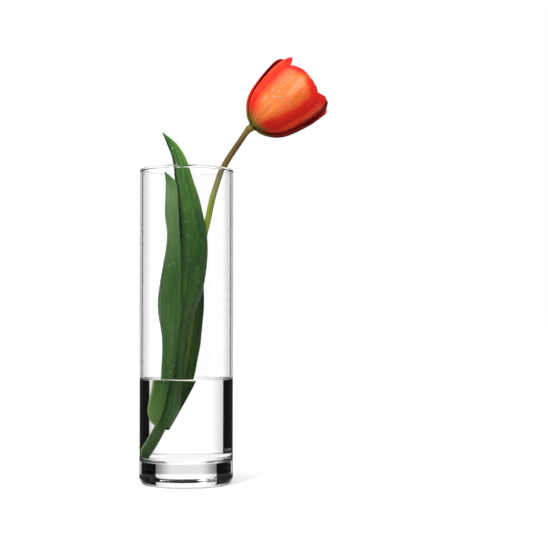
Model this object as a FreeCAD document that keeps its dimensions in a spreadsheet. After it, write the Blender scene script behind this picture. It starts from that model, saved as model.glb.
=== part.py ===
"""Glass cylinder vase with water and a cut tulip, as a FreeCAD document.

Millimetres, +Z up. The origin is the middle of the vase's underside, on the table.
The vase is one piece of glass. The water and the tulip are what it holds; the tulip
stands on the glass floor, leans on the rim, and its flower opens petal by petal.
"""

import FreeCAD, Part
import math
import os

import Sketcher

Vector = FreeCAD.Vector

# Driving dimensions: alias, value (mm or degrees), meaning.
DIMENSIONS = [
    ("vase_radius", 45.0, "outside radius of the straight cylinder"),
    ("vase_height", 303.0, "table to the top of the rim"),
    ("wall", 2.4, "glass wall"),
    ("base_thickness", 22.0, "solid glass under the inside floor"),
    ("heel_radius", 6.5, "rounded outer edge at the foot"),
    ("floor_corner", 4.0, "rounded inner corner where the wall meets the floor"),
    ("rim_round", 1.1, "fire-polished rounding of the rim, on both sides"),
    ("water_level", 100.0, "height of the water surface"),
    ("water_gap", 0.1, "clearance between the water solid and the glass"),
    ("stem_bottom_radius", 4.2, "stem at its cut end"),
    ("stem_top_radius", 2.8, "stem under the flower"),
    ("receptacle_radius", 4.0, "swelling that carries the flower"),
    ("receptacle_length", 5.0, "from the stem's own radius to the swelling"),
    ("leaf_thickness", 1.0, "leaf blades"),
    ("flower_lean", 51.0, "flower axis from the vertical, towards +X"),
    ("flower_turn", 0.0, "first outer petal from the front, about the flower axis"),
    ("petal_thickness", 0.7, "all six petals"),
    ("petal_layer", 2.1, "inner petals stand this far inside the outer ones"),
    ("outer_petal_width", 44.0, "half angle that an outer petal covers at its widest"),
    ("inner_petal_width", 42.0, "half angle that an inner petal covers at its widest"),
    ("ovary_height", 21.0, "ovary, from the receptacle"),
    ("ovary_radius", 3.2, "ovary at its widest"),
    ("stigma_radius", 4.6, "three-lobed stigma, overall"),
    ("stigma_height", 3.6, "stigma lobes, top to bottom"),
    ("filament_radius", 0.8, "stamen stalk"),
    ("filament_length", 10.0, "stamen stalk, along the flower axis"),
    ("filament_ring", 2.9, "radius of the ring that the stamens stand on"),
    ("filament_spread", 2.8, "how far a stamen leans out by its top"),
    ("anther_length", 12.0, "pollen sac"),
    ("anther_radius", 1.6, "pollen sac at its thickest"),
]

PETALS_PER_RING = 3
STAMENS = 6

# Middle of the stem from its cut end to the flower.
STEM_ROUTE = [
    Vector(-29.5, 11.0, 24.0),
    Vector(-22.0, 10.5, 41.5),
    Vector(-14.6, 10.0, 62.0),
    Vector(-9.0, 10.0, 80.0),
    Vector(-4.5, 10.0, 100.0),
    Vector(-1.0, 10.5, 120.0),
    Vector(3.2, 11.7, 150.0),
    Vector(8.3, 13.5, 188.0),
    Vector(12.6, 14.8, 215.0),
    Vector(16.8, 16.0, 238.0),
    Vector(21.4, 17.0, 257.5),
    Vector(25.8, 17.8, 277.5),
    Vector(31.0, 18.2, 294.0),
    Vector(35.6, 18.2, 306.5),
    Vector(41.4, 17.8, 317.0),
    Vector(52.6, 17.0, 333.6),
    Vector(64.2, 16.0, 347.8),
]

# Leaf blades, from the base up. Each row is one level: its height, then the X and Y of
# the left margin, the midrib and the right margin.
LEAF_TALL = [
    (54.0, (-22.6, 11.0), (-17.6, 4.2), (-11.6, 11.0)),
    (75.0, (-17.6, 8.0), (-12.0, 1.8), (-3.8, 8.0)),
    (101.0, (-14.5, 4.0), (-9.0, -1.5), (-3.6, 4.0)),
    (128.0, (-16.0, 0.0), (-10.0, -6.0), (-0.8, 0.5)),
    (150.0, (-16.0, -2.0), (-8.0, -8.0), (3.8, 0.5)),
    (170.0, (-15.0, -3.0), (-5.5, -9.0), (10.8, 2.0)),
    (190.0, (-12.5, -3.0), (-3.0, -9.5), (17.0, 4.0)),
    (212.0, (-10.0, -2.0), (-1.0, -9.0), (20.0, 5.5)),
    (234.0, (-8.5, -1.0), (0.0, -8.0), (20.0, 6.5)),
    (252.0, (-8.5, -1.0), (0.0, -7.0), (17.8, 5.0)),
    (274.0, (-9.8, -1.0), (-3.0, -6.0), (12.7, 2.0)),
    (293.0, (-11.4, -1.0), (-6.0, -5.5), (6.4, 0.0)),
    (314.0, (-14.2, -1.0), (-10.0, -4.5), (-1.0, -1.0)),
    (329.0, (-19.8, -1.0), (-17.0, -3.0), (-10.8, -2.0)),
    (338.9, (-23.9, -2.0), (-23.5, -2.3), (-23.1, -2.2)),
]
LEAF_SMALL = [
    (56.0, (-24.6, 4.6), (-23.2, 2.8), (-21.2, 2.6)),
    (71.0, (-27.8, 4.0), (-23.5, -2.0), (-16.8, -1.0)),
    (98.0, (-24.8, -0.5), (-19.0, -6.6), (-12.5, -5.2)),
    (137.0, (-23.7, -3.5), (-16.0, -11.8), (-7.8, -11.0)),
    (163.0, (-27.3, -4.0), (-18.0, -13.8), (-4.5, -12.6)),
    (180.0, (-27.4, -4.0), (-17.0, -14.2), (-4.9, -13.0)),
    (211.0, (-22.5, -5.0), (-14.0, -13.2), (-6.5, -12.2)),
    (239.0, (-18.6, -5.0), (-13.0, -11.5), (-8.3, -10.8)),
    (259.0, (-20.9, -5.0), (-14.5, -11.0), (-9.2, -9.8)),
    (280.0, (-20.6, -5.0), (-15.0, -9.6), (-10.0, -8.4)),
    (291.0, (-20.4, -5.0), (-16.0, -8.0), (-12.4, -7.4)),
    (300.4, (-21.6, -5.0), (-21.2, -5.3), (-20.8, -5.2)),
]
LEAF_BACK = [
    (51.0, (-23.6, 13.6), (-17.5, 16.8), (-11.4, 12.6)),
    (65.0, (-17.8, 15.2), (-11.0, 16.8), (-6.0, 11.0)),
    (81.0, (-12.0, 16.0), (-4.0, 17.2), (0.4, 9.6)),
    (100.0, (-7.0, 17.0), (2.0, 18.2), (7.2, 8.6)),
    (119.0, (-3.0, 18.0), (5.5, 18.6), (10.8, 8.2)),
    (134.0, (-1.0, 18.6), (8.0, 19.2), (13.7, 8.2)),
    (152.0, (0.0, 19.2), (9.5, 19.8), (15.4, 8.6)),
    (172.0, (2.0, 20.2), (11.0, 20.6), (17.0, 9.6)),
    (188.0, (4.0, 21.2), (12.0, 21.8), (16.7, 12.0)),
    (206.0, (8.0, 22.8), (12.4, 23.4), (15.8, 20.0)),
    (222.0, (13.8, 24.4), (14.2, 24.5), (14.6, 24.3)),
]

# One outer petal down its middle: radius from the flower axis, height along the axis,
# and the share of the petal's full half angle that it covers there.
PETAL_PROFILE = [
    (5.8, 0.9, 0.62),
    (10.0, 2.0, 0.62),
    (16.0, 5.4, 0.72),
    (22.5, 11.0, 0.84),
    (28.0, 19.0, 0.94),
    (31.4, 29.0, 1.0),
    (33.8, 40.0, 1.0),
    (35.2, 50.5, 0.92),
    (35.0, 60.0, 0.72),
    (33.4, 66.5, 0.44),
    (31.8, 70.0, 0.06),
]

doc = FreeCAD.newDocument("GlassCylinderVase")
exported = []


def make_sheet():
    """The spreadsheet that holds every driving dimension."""
    sheet = doc.addObject("Spreadsheet::Sheet", "Dimensions")
    for row, (alias, value, meaning) in enumerate(DIMENSIONS, start=1):
        sheet.set(f"A{row}", meaning)
        sheet.set(f"B{row}", str(value))
        sheet.setAlias(f"B{row}", alias)
    doc.recompute()
    return sheet


SHEET = make_sheet()


def size(alias):
    """A dimension's value, for shapes that are built in code."""
    return float(SHEET.get(alias))


def cell(alias):
    """A dimension's name as an expression writes it."""
    return f"Dimensions.{alias}"


def bind(feature, **expressions):
    """Tie a feature's properties to the sheet."""
    for name, expression in expressions.items():
        feature.setExpression(name, expression)


def keep(sub_part, label):
    """Name a sub-part and list it for export."""
    sub_part.Label = label
    exported.append(sub_part)
    return sub_part


def shape_part(label, shape, placement=None):
    """A sub-part whose shape is made in code."""
    feature = doc.addObject("Part::Feature", label)
    feature.Shape = shape
    feature.Placement = placement or FreeCAD.Placement()
    return keep(feature, label)


# --- vase -----------------------------------------------------------------------------


def origin_plane(body, role):
    """One of a body's own origin planes."""
    return next(f for f in body.Origin.OriginFeatures if f.Role == role)


def rectangle_sketch(body, name, low, width, top):
    """A rectangle from the Z axis outwards, its sizes tied to the sheet."""
    sketch = body.newObject("Sketcher::SketchObject", name)
    sketch.AttachmentSupport = [(origin_plane(body, "XZ_Plane"), "")]
    sketch.MapMode = "FlatFace"
    corners = [(0, 10), (30, 10), (30, 90), (0, 90)]
    points = [Vector(x, y, 0) for x, y in corners]
    for start, end in zip(points, points[1:] + points[:1]):
        sketch.addGeometry(Part.LineSegment(start, end), False)
    for line in range(4):
        sketch.addConstraint(Sketcher.Constraint("Coincident", line, 2, (line + 1) % 4, 1))
    for line in (0, 2):
        sketch.addConstraint(Sketcher.Constraint("Horizontal", line))
    sketch.addConstraint(Sketcher.Constraint("Vertical", 1))
    sketch.addConstraint(Sketcher.Constraint("PointOnObject", 0, 1, -2))
    sketch.addConstraint(Sketcher.Constraint("PointOnObject", 3, 1, -2))
    across = sketch.addConstraint(Sketcher.Constraint("DistanceX", 0, 1, 0, 2, 30))
    sketch.setExpression(f"Constraints[{across}]", width)
    upwards = sketch.addConstraint(Sketcher.Constraint("DistanceY", -1, 1, 2, 1, 90))
    sketch.setExpression(f"Constraints[{upwards}]", top)
    if low is None:
        sketch.addConstraint(Sketcher.Constraint("PointOnObject", 0, 2, -1))
    else:
        start = sketch.addConstraint(Sketcher.Constraint("DistanceY", -1, 1, 0, 2, 10))
        sketch.setExpression(f"Constraints[{start}]", low)
    return sketch


def turned(body, kind, name, sketch):
    """A revolution or groove of a sketch about the Z axis."""
    feature = body.newObject(kind, name)
    feature.Profile = sketch
    feature.ReferenceAxis = (sketch, ["V_Axis"])
    feature.Angle = 360
    doc.recompute()
    return feature


def circle_edges(shape, radius, height):
    """Names of a turned shape's circular edges at a radius and height."""
    names = []
    for number, edge in enumerate(shape.Edges, start=1):
        if not isinstance(edge.Curve, Part.Circle):
            continue
        same_radius = abs(edge.Curve.Radius - radius) < 1e-6
        if same_radius and abs(edge.Curve.Center.z - height) < 1e-6:
            names.append(f"Edge{number}")
    return names


def fillet(body, name, base, edges, radius):
    """A PartDesign fillet whose radius is tied to the sheet."""
    feature = body.newObject("PartDesign::Fillet", name)
    feature.Base = (base, edges)
    bind(feature, Radius=radius)
    doc.recompute()
    return feature


def make_vase():
    """Straight cylinder with a thick solid base, a rounded heel and a rounded rim."""
    body = keep(doc.addObject("PartDesign::Body", "Vase"), "vase")
    outside = rectangle_sketch(body, "OutsideProfile", None, cell("vase_radius"), cell("vase_height"))
    solid = turned(body, "PartDesign::Revolution", "Outside", outside)
    full_volume = solid.Shape.Volume
    bore_radius = f"{cell('vase_radius')} - {cell('wall')}"
    inside = rectangle_sketch(body, "BoreProfile", cell("base_thickness"), bore_radius, cell("vase_height"))
    bored = turned(body, "PartDesign::Groove", "Bore", inside)
    bore = math.pi * inner_radius() ** 2 * (size("vase_height") - size("base_thickness"))
    if abs(full_volume - bored.Shape.Volume - bore) > 1.0:
        raise RuntimeError("the bore did not cut the vase")
    heel_edges = circle_edges(bored.Shape, size("vase_radius"), 0.0)
    heel = fillet(body, "Heel", bored, heel_edges, cell("heel_radius"))
    corner_edges = circle_edges(heel.Shape, inner_radius(), size("base_thickness"))
    corner = fillet(body, "FloorCorner", heel, corner_edges, cell("floor_corner"))
    rim_edges = circle_edges(corner.Shape, size("vase_radius"), size("vase_height"))
    rim_edges += circle_edges(corner.Shape, inner_radius(), size("vase_height"))
    fillet(body, "Rim", corner, rim_edges, cell("rim_round"))


def inner_radius():
    """Radius of the vase's bore."""
    return size("vase_radius") - size("wall")


# --- stem and leaves ------------------------------------------------------------------


def stem_radius(height):
    """The stem tapers evenly from its cut end to the flower."""
    low = STEM_ROUTE[0].z
    share = (height - low) / (STEM_ROUTE[-1].z - low)
    return size("stem_bottom_radius") + share * (size("stem_top_radius") - size("stem_bottom_radius"))


def make_stem():
    """Round tapering stem through its route, swelling into the receptacle at the top."""
    route = Part.BSplineCurve()
    route.interpolate(STEM_ROUTE[:-1] + [flower_point(-size("receptacle_length"))])
    sections = []
    for point in STEM_ROUTE[:-1]:
        direction = route.tangent(route.parameter(point))[0]
        circle = Part.Circle(point, direction, stem_radius(point.z))
        sections.append(Part.Wire(circle.toShape()))
    axis = flower_placement().Rotation.multVec(Vector(0, 0, 1))
    swelling = (size("stem_top_radius"), size("receptacle_radius"), size("receptacle_radius"))
    for height, radius in zip((-size("receptacle_length"), -1.0, 0.0), swelling):
        circle = Part.Circle(flower_point(height), axis, radius)
        sections.append(Part.Wire(circle.toShape()))
    return shape_part("stem", Part.makeLoft(sections, True, False))


def blade_section(left, middle, right, thickness):
    """Closed outline of a thin curved blade: an arc, the same arc moved in, and two short ends."""
    circle = Part.Arc(left, middle, right).toShape().Curve
    share = (circle.Radius - thickness) / circle.Radius
    inner = [circle.Center + (point - circle.Center) * share for point in (left, middle, right)]
    edges = [
        Part.Arc(left, middle, right).toShape(),
        Part.makeLine(right, inner[2]),
        Part.Arc(inner[2], inner[1], inner[0]).toShape(),
        Part.makeLine(inner[0], left),
    ]
    return Part.Wire(edges)


def make_leaf(label, levels):
    """A leaf lofted through its levels, thinning to its tip."""
    sections = []
    for number, (height, *margins) in enumerate(levels):
        points = [Vector(x, y, height) for x, y in margins]
        last = number == len(levels) - 1
        thickness = size("leaf_thickness") * (0.3 if last else 1.0)
        sections.append(blade_section(*points, thickness))
    return shape_part(label, Part.makeLoft(sections, True, False))


# --- water ----------------------------------------------------------------------------


def make_water(plant_parts):
    """The water in the bore, less the space that the stem and leaves take up."""
    column = doc.addObject("Part::Cylinder", "WaterColumn")
    column.Placement = FreeCAD.Placement(Vector(0, 0, size("base_thickness") + size("water_gap")), FreeCAD.Rotation())
    bind(
        column,
        Radius=f"{cell('vase_radius')} - {cell('wall')} - {cell('water_gap')}",
        Height=f"{cell('water_level')} - {cell('base_thickness')} - {cell('water_gap')}",
    )
    doc.recompute()
    rounded = doc.addObject("Part::Fillet", "WaterRounded")
    rounded.Base = column
    floor_edge = circle_edges(column.Shape, inner_radius() - size("water_gap"), column.Placement.Base.z)
    rounded.Edges = [(int(name[4:]), size("floor_corner"), size("floor_corner")) for name in floor_edge]
    displaced = doc.addObject("Part::MultiFuse", "DisplacedByPlant")
    displaced.Shapes = plant_parts
    water = doc.addObject("Part::Cut", "Water")
    water.Base = rounded
    water.Tool = displaced
    doc.recompute()
    return keep(water, "water")


# --- flower ---------------------------------------------------------------------------


def flower_placement():
    """Flower frame: its Z is the flower axis and its X points to the front."""
    lean = math.radians(size("flower_lean"))
    axis = Vector(math.sin(lean), 0, math.cos(lean))
    front = Vector(0, -1, 0)
    turn = FreeCAD.Rotation(Vector(0, 0, 1), size("flower_turn"))
    rotation = FreeCAD.Rotation(front, axis.cross(front), axis, "ZXY").multiply(turn)
    return FreeCAD.Placement(STEM_ROUTE[-1], rotation)


def flower_point(height):
    """A point on the flower axis."""
    return flower_placement().multVec(Vector(0, 0, height))


def around_axis(angle):
    """The flower frame turned about its own axis."""
    turn = FreeCAD.Placement(Vector(), FreeCAD.Rotation(Vector(0, 0, 1), angle))
    return flower_placement().multiply(turn)


def petal_shape(half_angle, inset):
    """One petal standing along the flower's X: a curved blade whose sections are square to its middle line."""
    middle = [Vector(radius, 0, height) for radius, height, _ in PETAL_PROFILE]
    line = Part.BSplineCurve()
    line.interpolate(middle)
    sections = []
    for point, (radius, _, share) in zip(middle, PETAL_PROFILE):
        along = line.tangent(line.parameter(point))[0]
        inward = Vector(-along.z, 0, along.x)
        centre = point + inward * inset
        curve_radius = centre.x / max(abs(inward.x), 0.35)
        half_width = curve_radius * math.sin(math.radians(half_angle * share))
        half_width = min(half_width, centre.x * math.tan(math.radians(half_angle * share)))
        sag = curve_radius - math.sqrt(curve_radius ** 2 - half_width ** 2)
        margin = centre + inward * sag
        left = margin - Vector(0, half_width, 0)
        right = margin + Vector(0, half_width, 0)
        sections.append(blade_section(left, centre, right, size("petal_thickness")))
    return Part.makeLoft(sections, True, False)


def make_petals():
    """Three outer petals and three inner ones between them."""
    step = 360.0 / PETALS_PER_RING
    rings = [
        ("petal_outer", size("outer_petal_width"), 0.0, 0.0),
        ("petal_inner", size("inner_petal_width"), size("petal_layer"), step / 2),
    ]
    for name, half_angle, inset, start in rings:
        shape = petal_shape(half_angle, inset)
        for number in range(PETALS_PER_RING):
            placement = around_axis(start + step * number)
            shape_part(f"{name}_{number + 1}", shape.copy(), placement)


def make_pistil():
    """Ovary standing on the receptacle, and the three-lobed stigma on top of it."""
    waist = size("filament_ring") - size("filament_radius") - 0.2
    ovary_profile = [
        (waist, 0.0),
        (waist, 1.5),
        (size("ovary_radius"), size("ovary_height") * 0.45),
        (size("ovary_radius") * 0.8, size("ovary_height")),
    ]
    rings = [
        Part.Wire(Part.Circle(Vector(0, 0, height), Vector(0, 0, 1), radius).toShape())
        for radius, height in ovary_profile
    ]
    shape_part("ovary", Part.makeLoft(rings, True, False), flower_placement())
    lobe_radius = size("stigma_radius") * 0.5
    lobes = []
    for number in range(3):
        angle = math.radians(120.0 * number)
        reach = size("stigma_radius") - lobe_radius
        centre = Vector(reach * math.cos(angle), reach * math.sin(angle), size("ovary_height"))
        lobes.append(Part.makeCylinder(lobe_radius, size("stigma_height"), centre))
    stigma = lobes[0].multiFuse(lobes[1:]).removeSplitter()
    top_edges = [e for e in stigma.Edges if abs(e.BoundBox.ZMin - size("ovary_height") - size("stigma_height")) < 1e-6]
    stigma = stigma.makeFillet(lobe_radius * 0.4, top_edges)
    shape_part("stigma", stigma, flower_placement())


def make_stamens():
    """Six stamens round the ovary, one before each petal: a stalk and a pollen sac."""
    foot_point = Vector(size("filament_ring"), 0, 0)
    top_point = foot_point + Vector(size("filament_spread"), 0, size("filament_length"))
    up = Vector(0, 0, 1)
    foot = Part.Wire(Part.Circle(foot_point, up, size("filament_radius")).toShape())
    top = Part.Wire(Part.Circle(top_point, up, size("filament_radius") * 0.7).toShape())
    filament = Part.makeLoft([foot, top], True, True)
    lean = (top_point - foot_point).normalize()
    levels = [(0.0, 0.45), (0.12, 0.85), (0.4, 1.0), (0.75, 0.85), (1.0, 0.3)]
    rings = []
    for share, width in levels:
        centre = top_point + lean * (size("anther_length") * share)
        rings.append(Part.Wire(Part.Circle(centre, up, size("anther_radius") * width).toShape()))
    anther = Part.makeLoft(rings, True, False)
    for number in range(STAMENS):
        placement = around_axis(360.0 / STAMENS * number)
        shape_part(f"filament_{number + 1}", filament.copy(), placement)
        shape_part(f"anther_{number + 1}", anther.copy(), placement)


# --- checks and export ----------------------------------------------------------------


def check_document():
    """Every object has recomputed, and every sub-part is a valid solid."""
    doc.recompute()
    for item in doc.Objects:
        if "Invalid" in item.State or "Error" in item.State:
            raise RuntimeError(f"{item.Label}: {item.State}")
    for sub_part in exported:
        shape = sub_part.Shape
        if shape.isNull() or not shape.isValid() or len(shape.Solids) != 1 or shape.Volume <= 0:
            raise RuntimeError(f"{sub_part.Label}: bad shape")
        box = shape.BoundBox
        print(f"{sub_part.Label:16s} {shape.Volume:10.1f} mm3  z {box.ZMin:7.2f} {box.ZMax:7.2f}")


def export_parts():
    """One STEP file for each sub-part."""
    os.makedirs("parts", exist_ok=True)
    for sub_part in exported:
        sub_part.Shape.exportStep(f"parts/{sub_part.Label}.step")


make_vase()
plant = [
    make_stem(),
    make_leaf("leaf_tall", LEAF_TALL),
    make_leaf("leaf_small", LEAF_SMALL),
    make_leaf("leaf_back", LEAF_BACK),
]
make_water(plant)
make_petals()
make_pistil()
make_stamens()
check_document()
export_parts()
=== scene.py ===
"""Looks of the glass cylinder vase, its water and its tulip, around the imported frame. Metres, +Z up."""

import math
import random

import bpy
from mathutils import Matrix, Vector, noise


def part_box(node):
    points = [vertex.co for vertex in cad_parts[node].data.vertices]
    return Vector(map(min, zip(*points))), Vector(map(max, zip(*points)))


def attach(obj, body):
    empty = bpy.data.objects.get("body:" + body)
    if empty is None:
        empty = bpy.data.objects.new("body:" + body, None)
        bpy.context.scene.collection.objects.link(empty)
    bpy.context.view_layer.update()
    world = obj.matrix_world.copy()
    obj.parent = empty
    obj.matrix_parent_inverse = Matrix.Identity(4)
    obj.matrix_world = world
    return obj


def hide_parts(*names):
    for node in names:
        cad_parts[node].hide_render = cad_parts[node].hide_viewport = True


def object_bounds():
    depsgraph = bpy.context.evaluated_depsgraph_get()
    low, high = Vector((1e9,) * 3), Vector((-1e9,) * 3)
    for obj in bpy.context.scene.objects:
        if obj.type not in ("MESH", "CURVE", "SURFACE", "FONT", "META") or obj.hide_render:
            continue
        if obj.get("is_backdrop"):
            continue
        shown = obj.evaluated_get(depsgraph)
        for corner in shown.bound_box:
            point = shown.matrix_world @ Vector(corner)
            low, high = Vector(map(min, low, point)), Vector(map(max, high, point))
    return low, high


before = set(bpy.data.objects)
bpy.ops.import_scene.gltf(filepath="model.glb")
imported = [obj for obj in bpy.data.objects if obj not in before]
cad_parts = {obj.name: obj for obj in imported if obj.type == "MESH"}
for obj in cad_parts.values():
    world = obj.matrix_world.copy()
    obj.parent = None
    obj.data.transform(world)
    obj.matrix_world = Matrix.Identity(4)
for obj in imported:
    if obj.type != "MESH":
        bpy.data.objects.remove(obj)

cad_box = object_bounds()
scene = bpy.context.scene
MM = 0.001
# Tolerance for telling which surface a profile point lies on.
HAIR = 1e-7

# --- sizes ----------------------------------------------------------------------------

VASE_LOW, VASE_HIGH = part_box("vase")
VASE_RADIUS = (VASE_HIGH.x - VASE_LOW.x) / 2
VASE_HEIGHT = VASE_HIGH.z
WALL = 2.4 * MM
BASE_THICKNESS = 22.0 * MM
HEEL_RADIUS = 6.5 * MM
FLOOR_CORNER = 4.0 * MM
RIM_BEAD = 1.5 * MM
BORE_RADIUS = VASE_RADIUS - WALL
WATER_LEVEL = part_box("water")[1].z
WATER_INSET = 0.02 * MM
MENISCUS_RISE = 1.5 * MM
MENISCUS_REACH = 1.7 * MM
CONTACT_HEIGHT = WATER_LEVEL + MENISCUS_RISE
GLASS_IOR = 1.52
WATER_IOR = 1.333

# Middle of the stem from its cut end to the flower, in millimetres.
STEM_ROUTE = [
    (-29.5, 11.0, 24.0), (-22.0, 10.5, 41.5), (-14.6, 10.0, 62.0), (-9.0, 10.0, 80.0),
    (-4.5, 10.0, 100.0), (-1.0, 10.5, 120.0), (3.2, 11.7, 150.0), (8.3, 13.5, 188.0),
    (12.6, 14.8, 215.0), (16.8, 16.0, 238.0), (21.4, 17.0, 257.5), (25.8, 17.8, 277.5),
    (31.0, 18.2, 294.0), (35.6, 18.2, 306.5), (41.4, 17.8, 317.0), (52.6, 17.0, 333.6),
    (64.2, 16.0, 347.8),
]
STEM_BOTTOM_RADIUS = 4.2 * MM
STEM_TOP_RADIUS = 2.8 * MM
RECEPTACLE_RADIUS = 4.0 * MM
RECEPTACLE_LENGTH = 5.0 * MM
FLOWER_LEAN = math.radians(51.0)
LEAF_THICKNESS = 0.9 * MM

# Leaf blades, from the base up: height, then X and Y of the left margin, midrib and right margin.
LEAF_TALL = [
    (54.0, (-20.4, 11.0), (-17.6, 4.2), (-11.6, 11.0)),
    (75.0, (-17.6, 8.0), (-12.0, 1.8), (-3.8, 8.0)),
    (101.0, (-14.5, 4.0), (-9.0, -1.5), (-3.6, 4.0)),
    (128.0, (-16.0, 0.0), (-10.0, -6.0), (-0.8, 0.5)),
    (150.0, (-16.0, -2.0), (-8.0, -8.0), (3.8, 0.5)),
    (170.0, (-15.0, -3.0), (-5.5, -9.0), (10.8, 2.0)),
    (190.0, (-12.5, -3.0), (-3.0, -9.5), (17.0, 4.0)),
    (212.0, (-10.0, -2.0), (-1.0, -9.0), (20.0, 5.5)),
    (234.0, (-8.5, -1.0), (0.0, -8.0), (20.0, 6.5)),
    (252.0, (-8.5, -1.0), (0.0, -7.0), (17.8, 5.0)),
    (274.0, (-9.8, -1.0), (-3.0, -6.0), (12.7, 2.0)),
    (293.0, (-11.4, -1.0), (-6.0, -5.5), (6.4, 0.0)),
    (314.0, (-14.2, -1.0), (-10.0, -4.5), (-1.0, -1.0)),
    (329.0, (-19.8, -1.0), (-17.0, -3.0), (-10.8, -2.0)),
    (338.9, (-23.9, -2.0), (-23.5, -2.3), (-23.1, -2.2)),
]
LEAF_SMALL = [
    (56.0, (-22.6, 4.8), (-21.8, 3.8), (-21.0, 3.2)),
    (60.0, (-25.6, 4.6), (-23.2, 1.2), (-19.6, 1.4)),
    (71.0, (-27.8, 4.0), (-23.5, -2.0), (-16.8, -1.0)),
    (98.0, (-24.8, -0.5), (-19.0, -6.6), (-12.5, -5.2)),
    (137.0, (-23.7, -3.5), (-16.0, -11.8), (-7.8, -11.0)),
    (163.0, (-27.3, -4.0), (-18.0, -13.8), (-4.5, -12.6)),
    (180.0, (-27.4, -4.0), (-17.0, -14.2), (-4.9, -13.0)),
    (211.0, (-22.5, -5.0), (-14.0, -13.2), (-5.4, -12.0)),
    (239.0, (-18.6, -5.0), (-13.0, -11.5), (-6.6, -10.6)),
    (259.0, (-20.9, -5.0), (-14.5, -11.0), (-7.6, -9.6)),
    (280.0, (-20.6, -5.0), (-14.8, -9.6), (-8.6, -8.2)),
    (291.0, (-20.4, -5.0), (-15.6, -8.0), (-11.0, -7.2)),
    (300.4, (-21.6, -5.0), (-21.2, -5.3), (-20.8, -5.2)),
]
LEAF_BACK = [
    (51.0, (-20.6, 12.6), (-17.5, 16.8), (-11.4, 12.6)),
    (65.0, (-17.8, 15.2), (-11.0, 16.8), (-6.0, 11.0)),
    (81.0, (-12.0, 16.0), (-4.0, 17.2), (0.4, 9.6)),
    (100.0, (-7.0, 17.0), (2.0, 18.2), (7.2, 8.6)),
    (119.0, (-3.0, 18.0), (5.5, 18.6), (10.8, 8.2)),
    (134.0, (-1.0, 18.6), (8.0, 19.2), (13.7, 8.2)),
    (152.0, (0.0, 19.2), (9.5, 19.8), (15.4, 8.6)),
    (172.0, (2.0, 20.2), (11.0, 20.6), (17.0, 9.6)),
    (188.0, (4.0, 21.2), (12.0, 21.8), (16.7, 12.0)),
    (206.0, (8.0, 22.8), (12.4, 23.4), (15.8, 20.0)),
    (222.0, (13.8, 24.4), (14.2, 24.5), (14.6, 24.3)),
]

# A petal down its middle: radius from the flower axis and height along it, in millimetres,
# and the share of its full half angle that it covers there.
PETAL_PROFILE = [
    (4.2, 0.1, 0.96), (5.8, 0.9, 0.88), (10.0, 2.0, 0.76), (16.0, 5.4, 0.76),
    (22.5, 11.0, 0.84), (28.0, 19.0, 0.94), (31.4, 29.0, 1.0), (33.8, 40.0, 1.0),
    (35.2, 50.5, 0.92), (35.0, 60.0, 0.72), (33.4, 66.5, 0.44), (31.8, 70.0, 0.06),
]
# How far the inner petals stand inside the outer ones, and how far the outer ones' low margins turn in.
PETAL_LAYER = 2.1 * MM
PETAL_HUG = 1.4 * MM
PETAL_THICKNESS = 0.7 * MM

# --- small tools ----------------------------------------------------------------------


def track(keys, rows):
    """A smooth function through rows of numbers at rising keys."""
    count = len(keys)
    slopes = []
    for i in range(count):
        low, high = max(i - 1, 0), min(i + 1, count - 1)
        step = keys[high] - keys[low]
        slopes.append([(b - a) / step for a, b in zip(rows[low], rows[high])])

    def at(key):
        key = min(max(key, keys[0]), keys[-1])
        i = max(k for k in range(count - 1) if keys[k] <= key)
        step = keys[i + 1] - keys[i]
        t = (key - keys[i]) / step
        start, end = 2 * t ** 3 - 3 * t ** 2 + 1, 3 * t ** 2 - 2 * t ** 3
        leave, arrive = (t ** 3 - 2 * t ** 2 + t) * step, (t ** 3 - t ** 2) * step
        return [
            start * a + end * b + leave * p + arrive * q
            for a, b, p, q in zip(rows[i], rows[i + 1], slopes[i], slopes[i + 1])
        ]

    return at


def mesh_object(name, points, faces, uvs=None, materials=(), face_slots=None):
    """A smooth-shaded mesh object; uvs is one pair for each point."""
    mesh = bpy.data.meshes.new(name)
    mesh.from_pydata([tuple(p) for p in points], [], faces)
    mesh.polygons.foreach_set("use_smooth", [True] * len(mesh.polygons))
    if uvs:
        layer = mesh.uv_layers.new(name="UVMap")
        for loop in mesh.loops:
            layer.data[loop.index].uv = uvs[loop.vertex_index]
    for item in materials:
        mesh.materials.append(item)
    if face_slots:
        mesh.polygons.foreach_set("material_index", face_slots)
    mesh.update()
    piece = bpy.data.objects.new(name, mesh)
    scene.collection.objects.link(piece)
    return piece


def fit_piece(piece, body, node):
    """A finished piece rides on its body and stands for its node, which is hidden."""
    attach(piece, body)
    if node:
        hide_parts(node)


def grid_faces(rows, columns, closed=False):
    """Quads over a grid of points, wrapping across the columns if closed."""
    faces = []
    across = columns if closed else columns - 1
    for i in range(rows - 1):
        for j in range(across):
            k = (j + 1) % columns
            faces.append((i * columns + j, i * columns + k, (i + 1) * columns + k, (i + 1) * columns + j))
    return faces


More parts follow.
